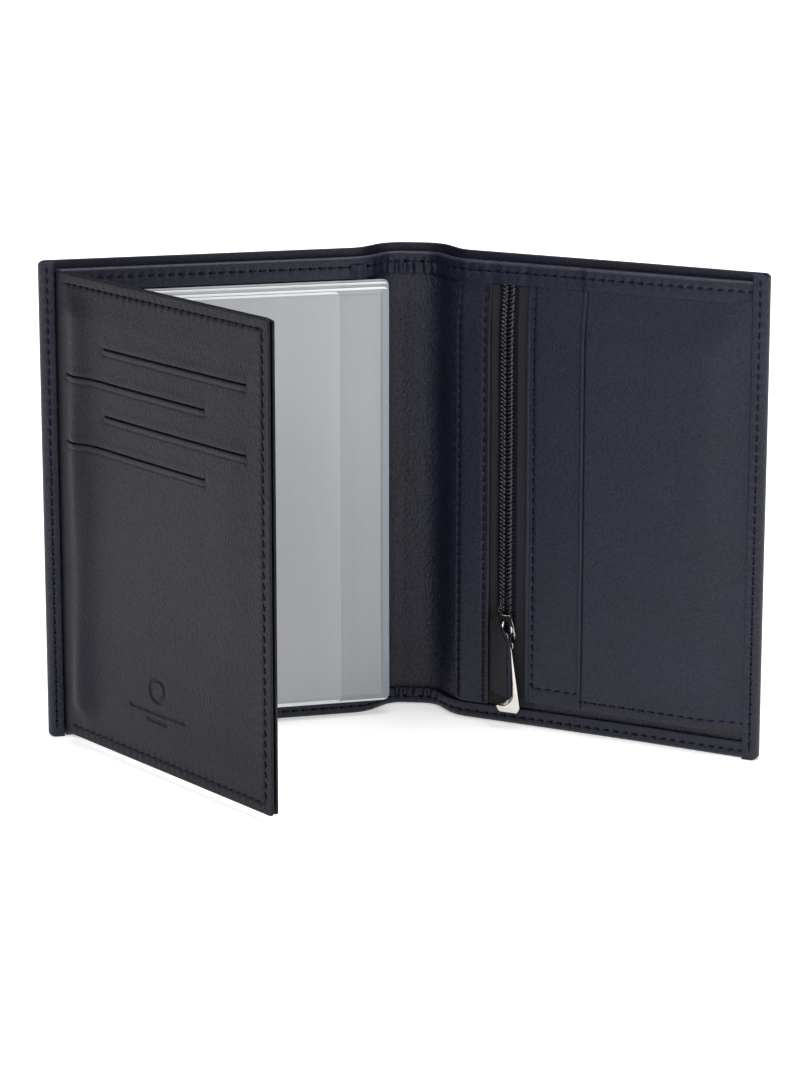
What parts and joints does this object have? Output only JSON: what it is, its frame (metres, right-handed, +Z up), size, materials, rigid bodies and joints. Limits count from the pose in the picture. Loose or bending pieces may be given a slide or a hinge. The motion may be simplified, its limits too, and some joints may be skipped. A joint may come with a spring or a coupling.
{
  "type": "passport holder",
  "caption": "Bi-fold leather passport holder standing open, with a soft spine, a card flap with slits, clear passport pages, a zipped pocket and a slip pocket.",
  "frame": {"origin": "centre of the bounding box in plan, on the surface that the open holder stands on", "axes": "+Z up; +X from the left cover to the right cover; +Y towards the back of the spine, so the inside of the holder faces -Y"},
  "size_m": [0.2072, 0.1106, 0.14],
  "materials": {
    "navy_leather": "fine-grained semi-matt calf, dark navy",
    "lining_leather": "coarser grained lining leather, dark navy",
    "fibre_board": "bonded leather fibre board",
    "pocket_cloth": "thin woven lining cloth",
    "clear_vinyl": "clear flexible vinyl, slightly milky",
    "zip_tape": "woven herringbone tape",
    "zip_nylon": "nylon coil",
    "nickel": "polished nickel"
  },
  "bodies": {
    "spine": {"bottom_hem_spine": "navy_leather", "lining_spine": "lining_leather", "shell_spine": "navy_leather", "top_hem_spine": "navy_leather"},
    "left_fold": {"bottom_hem_fold_left": "navy_leather", "lining_fold_left": "lining_leather", "shell_fold_left": "navy_leather", "top_hem_fold_left": "navy_leather"},
    "left_cover": {"bottom_hem_cover_left": "navy_leather", "flap_hinge_strip": "navy_leather", "lining_cover_left": "lining_leather", "page_hinge_strip": "clear_vinyl", "shell_cover_left": "navy_leather", "side_hem_cover_left": "navy_leather", "slip_pocket_left": "navy_leather", "stiffener_cover_left": "fibre_board", "top_hem_cover_left": "navy_leather"},
    "right_fold": {"bottom_hem_fold_right": "navy_leather", "lining_fold_right": "lining_leather", "shell_fold_right": "navy_leather", "top_hem_fold_right": "navy_leather"},
    "right_cover": {"bottom_hem_cover_right": "navy_leather", "card_panel_right": "navy_leather", "lining_cover_right": "lining_leather", "shell_cover_right": "navy_leather", "side_hem_cover_right": "navy_leather", "stiffener_cover_right": "fibre_board", "top_hem_cover_right": "navy_leather", "zip_bottom_stop": "nickel", "zip_coil_left": "zip_nylon", "zip_coil_right": "zip_nylon", "zip_panel_left": "navy_leather", "zip_panel_right": "navy_leather", "zip_pocket_bag": "pocket_cloth", "zip_tape_left": "zip_tape", "zip_tape_right": "zip_tape", "zip_top_stop": "nickel"},
    "rear_page": {"rear_page_back": "clear_vinyl", "rear_page_front": "clear_vinyl"},
    "front_page": {"front_page_back": "clear_vinyl", "front_page_front": "clear_vinyl"},
    "card_flap": {"card_pocket_1": "pocket_cloth", "card_pocket_2": "pocket_cloth", "card_pocket_3": "pocket_cloth", "card_pocket_4": "pocket_cloth", "flap_back": "navy_leather", "flap_front": "navy_leather"},
    "zip_slider": {"zip_bail": "nickel", "zip_slider_body": "nickel"},
    "zip_pull": {"zip_pull_plate": "nickel", "zip_tab_front": "navy_leather", "zip_tab_rear": "navy_leather"}
  },
  "joints": [
    {"name": "left_fold_hinge", "type": "hinge", "parent": "spine", "child": "left_fold", "pos_m": [-0.0067, 0.05244, 0], "axis": [0, 0, 1], "range_deg": [-8.8, 33]},
    {"name": "left_cover_hinge", "type": "hinge", "parent": "left_fold", "child": "left_cover", "pos_m": [-0.01435, 0.04369, 0], "axis": [0, 0, 1], "range_deg": [-10.2, 38.1]},
    {"name": "right_fold_hinge", "type": "hinge", "parent": "spine", "child": "right_fold", "pos_m": [0.0067, 0.05244, 0], "axis": [0, 0, -1], "range_deg": [-8.8, 33]},
    {"name": "right_cover_hinge", "type": "hinge", "parent": "right_fold", "child": "right_cover", "pos_m": [0.01435, 0.04369, 0], "axis": [0, 0, -1], "range_deg": [-10.2, 38.1]},
    {"name": "front_page_turn", "type": "hinge", "parent": "left_cover", "child": "front_page", "pos_m": [-0.09579, 0.01115, 0], "axis": [0, 0, 1], "range_deg": [-38, 0]},
    {"name": "rear_page_turn", "type": "hinge", "parent": "left_cover", "child": "rear_page", "pos_m": [-0.09618, 0.01229, 0], "axis": [0, 0, 1], "range_deg": [-19.1, 0]},
    {"name": "card_flap_hinge", "type": "hinge", "parent": "left_cover", "child": "card_flap", "pos_m": [-0.09503, 0.00893, 0], "axis": [0, 0, 1], "range_deg": [-108, 62]},
    {"name": "zip_slide", "type": "slide", "parent": "right_cover", "child": "zip_slider", "axis": [0, 0, 1], "range_m": [0, 0.091]},
    {"name": "zip_pull_swing", "type": "hinge", "parent": "zip_slider", "child": "zip_pull", "pos_m": [0.02785, 0.03254, 0.0278], "axis": [-0.3256, -0.9455, 0], "range_deg": [-20, 20]}
  ],
  "couplings": [
    {"joint": "left_cover_hinge", "follows": "left_fold_hinge", "ratio": 1.1515},
    {"joint": "right_cover_hinge", "follows": "right_fold_hinge", "ratio": 1.1515},
    {"joint": "rear_page_turn", "follows": "front_page_turn", "ratio": 0.5}
  ]
}
